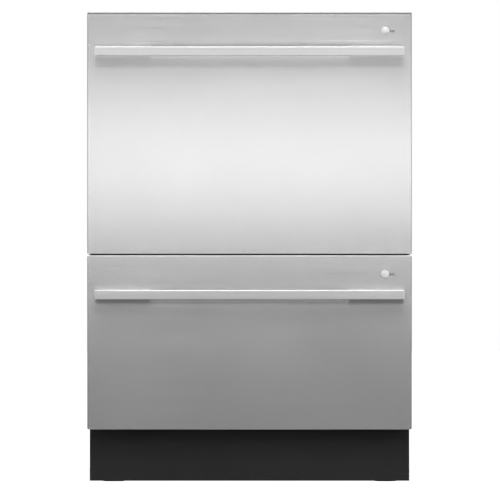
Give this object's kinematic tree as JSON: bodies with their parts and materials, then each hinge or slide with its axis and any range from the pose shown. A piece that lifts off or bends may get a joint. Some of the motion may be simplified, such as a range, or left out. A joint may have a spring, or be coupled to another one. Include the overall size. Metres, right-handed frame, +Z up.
{
  "type": "double drawer dishwasher",
  "caption": "Built-in dishwasher made of stacked pull-out wash drawers with brushed steel fronts, bar handles, start buttons and a black toe kick.",
  "frame": {"origin": "on the floor, under the middle of the whole machine, handles included", "axes": "+X to the right of a person facing the fronts, +Y towards the wall behind, +Z up"},
  "size_m": [0.599, 0.615, 0.867],
  "materials": {
    "brushed_front": "horizontal brushed grain, satin",
    "handle_steel": "fine brushed, bright bevelled edges",
    "button_metal": "polished",
    "zinc_sheet": "galvanised sheet, dull",
    "runner_steel": "bright zinc plated",
    "black_plastic": "matt, fine texture",
    "tub_plastic": "smooth moulded, semi gloss",
    "lid_plastic": "smooth moulded, satin",
    "grey_plastic": "moulded, satin",
    "rack_coating": "nylon coated wire",
    "seal_rubber": "matt",
    "motor_shell": "moulded, matt"
  },
  "bodies": {
    "cabinet": {"cabinet_wrapper": "zinc_sheet", "rear_panel": "zinc_sheet", "base_tray": "zinc_sheet", "middle_rail": "black_plastic", "toe_kick": "black_plastic", "service_connections": "grey_plastic", "upper_left_slide_outer": "runner_steel", "upper_right_slide_outer": "runner_steel", "lower_left_slide_outer": "runner_steel", "lower_right_slide_outer": "runner_steel", "upper_left_lid_lifter": "grey_plastic", "upper_right_lid_lifter": "grey_plastic", "lower_left_lid_lifter": "grey_plastic", "lower_right_lid_lifter": "grey_plastic"},
    "upper_drawer": {"upper_front_panel": "brushed_front", "upper_handle": "handle_steel", "upper_control_panel": "black_plastic", "upper_tub": "tub_plastic", "upper_wash_motor": "motor_shell", "upper_filter_plate": "grey_plastic", "upper_rack": "rack_coating", "upper_cutlery_basket": "grey_plastic", "upper_detergent_dispenser": "grey_plastic", "upper_left_slide_inner": "runner_steel", "upper_right_slide_inner": "runner_steel"},
    "upper_slide_middles": {"upper_left_slide_middle": "runner_steel", "upper_right_slide_middle": "runner_steel"},
    "upper_wash_lid": {"upper_lid": "lid_plastic", "upper_lid_seal": "seal_rubber"},
    "upper_start_button_body": {"upper_start_button": "button_metal"},
    "upper_spray_arm_body": {"upper_spray_arm": "grey_plastic"},
    "upper_folding_tines_body": {"upper_folding_tines": "rack_coating"},
    "upper_cup_shelf_body": {"upper_cup_shelf": "rack_coating"},
    "upper_dispenser_flap_body": {"upper_dispenser_flap": "lid_plastic"},
    "upper_rinse_aid_cap_body": {"upper_rinse_aid_cap": "black_plastic"},
    "lower_drawer": {"lower_front_panel": "brushed_front", "lower_handle": "handle_steel", "lower_control_panel": "black_plastic", "lower_tub": "tub_plastic", "lower_wash_motor": "motor_shell", "lower_filter_plate": "grey_plastic", "lower_rack": "rack_coating", "lower_cutlery_basket": "grey_plastic", "lower_detergent_dispenser": "grey_plastic", "lower_left_slide_inner": "runner_steel", "lower_right_slide_inner": "runner_steel"},
    "lower_slide_middles": {"lower_left_slide_middle": "runner_steel", "lower_right_slide_middle": "runner_steel"},
    "lower_wash_lid": {"lower_lid": "lid_plastic", "lower_lid_seal": "seal_rubber"},
    "lower_start_button_body": {"lower_start_button": "button_metal"},
    "lower_spray_arm_body": {"lower_spray_arm": "grey_plastic"},
    "lower_folding_tines_body": {"lower_folding_tines": "rack_coating"},
    "lower_cup_shelf_body": {"lower_cup_shelf": "rack_coating"},
    "lower_dispenser_flap_body": {"lower_dispenser_flap": "lid_plastic"},
    "lower_rinse_aid_cap_body": {"lower_rinse_aid_cap": "black_plastic"},
    "front_left_foot_body": {"front_left_foot": "black_plastic"},
    "front_right_foot_body": {"front_right_foot": "black_plastic"},
    "rear_left_foot_body": {"rear_left_foot": "black_plastic"},
    "rear_right_foot_body": {"rear_right_foot": "black_plastic"}
  },
  "joints": [
    {"name": "upper_drawer_slide", "type": "slide", "parent": "cabinet", "child": "upper_drawer", "axis": [0, -1, 0], "range_m": [0, 0.46]},
    {"name": "upper_slide_middle_slide", "type": "slide", "parent": "cabinet", "child": "upper_slide_middles", "axis": [0, -1, 0], "range_m": [0, 0.23]},
    {"name": "upper_lid_drop", "type": "slide", "parent": "cabinet", "child": "upper_wash_lid", "axis": [0, 0, -1], "range_m": [0, 0.008]},
    {"name": "upper_button_press", "type": "slide", "parent": "upper_drawer", "child": "upper_start_button_body", "axis": [0, 1, 0], "range_m": [0, 0.0015], "stiffness_N_per_m": 900},
    {"name": "upper_spray_arm_spin", "type": "hinge", "parent": "upper_drawer", "child": "upper_spray_arm_body", "pos_m": [0, 0.0235, 0.5053], "axis": [0, 0, 1], "continuous": true},
    {"name": "upper_tines_fold", "type": "hinge", "parent": "upper_drawer", "child": "upper_folding_tines_body", "pos_m": [0, 0.0055, 0.529], "axis": [-1, 0, 0], "range_deg": [0, 90]},
    {"name": "upper_cup_shelf_fold", "type": "hinge", "parent": "upper_drawer", "child": "upper_cup_shelf_body", "pos_m": [-0.2493, 0.0335, 0.7292], "axis": [0, 1, 0], "range_deg": [0, 90]},
    {"name": "upper_flap_slide", "type": "slide", "parent": "upper_drawer", "child": "upper_dispenser_flap_body", "axis": [-1, 0, 0], "range_m": [0, 0.046]},
    {"name": "upper_cap_turn", "type": "hinge", "parent": "upper_drawer", "child": "upper_rinse_aid_cap_body", "pos_m": [0.041, -0.195, 0.7492], "axis": [0, 1, 0], "range_deg": [0, 90]},
    {"name": "lower_drawer_slide", "type": "slide", "parent": "cabinet", "child": "lower_drawer", "axis": [0, -1, 0], "range_m": [0, 0.46]},
    {"name": "lower_slide_middle_slide", "type": "slide", "parent": "cabinet", "child": "lower_slide_middles", "axis": [0, -1, 0], "range_m": [0, 0.23]},
    {"name": "lower_lid_drop", "type": "slide", "parent": "cabinet", "child": "lower_wash_lid", "axis": [0, 0, -1], "range_m": [0, 0.008]},
    {"name": "lower_button_press", "type": "slide", "parent": "lower_drawer", "child": "lower_start_button_body", "axis": [0, 1, 0], "range_m": [0, 0.0015], "stiffness_N_per_m": 900},
    {"name": "lower_spray_arm_spin", "type": "hinge", "parent": "lower_drawer", "child": "lower_spray_arm_body", "pos_m": [0, 0.0235, 0.1813], "axis": [0, 0, 1], "continuous": true},
    {"name": "lower_tines_fold", "type": "hinge", "parent": "lower_drawer", "child": "lower_folding_tines_body", "pos_m": [0, 0.0055, 0.205], "axis": [-1, 0, 0], "range_deg": [0, 90]},
    {"name": "lower_cup_shelf_fold", "type": "hinge", "parent": "lower_drawer", "child": "lower_cup_shelf_body", "pos_m": [-0.2493, 0.0335, 0.2802], "axis": [0, 1, 0], "range_deg": [0, 90]},
    {"name": "lower_flap_slide", "type": "slide", "parent": "lower_drawer", "child": "lower_dispenser_flap_body", "axis": [-1, 0, 0], "range_m": [0, 0.046]},
    {"name": "lower_cap_turn", "type": "hinge", "parent": "lower_drawer", "child": "lower_rinse_aid_cap_body", "pos_m": [0.041, -0.195, 0.3002], "axis": [0, 1, 0], "range_deg": [0, 90]},
    {"name": "front_left_foot_screw", "type": "slide", "parent": "cabinet", "child": "front_left_foot_body", "axis": [0, 0, -1], "range_m": [0, 0.054]},
    {"name": "front_right_foot_screw", "type": "slide", "parent": "cabinet", "child": "front_right_foot_body", "axis": [0, 0, -1], "range_m": [0, 0.054]},
    {"name": "rear_left_foot_screw", "type": "slide", "parent": "cabinet", "child": "rear_left_foot_body", "axis": [0, 0, -1], "range_m": [0, 0.054]},
    {"name": "rear_right_foot_screw", "type": "slide", "parent": "cabinet", "child": "rear_right_foot_body", "axis": [0, 0, -1], "range_m": [0, 0.054]}
  ],
  "couplings": [
    {"joint": "upper_slide_middle_slide", "follows": "upper_drawer_slide", "ratio": 0.5},
    {"joint": "lower_slide_middle_slide", "follows": "lower_drawer_slide", "ratio": 0.5}
  ]
}
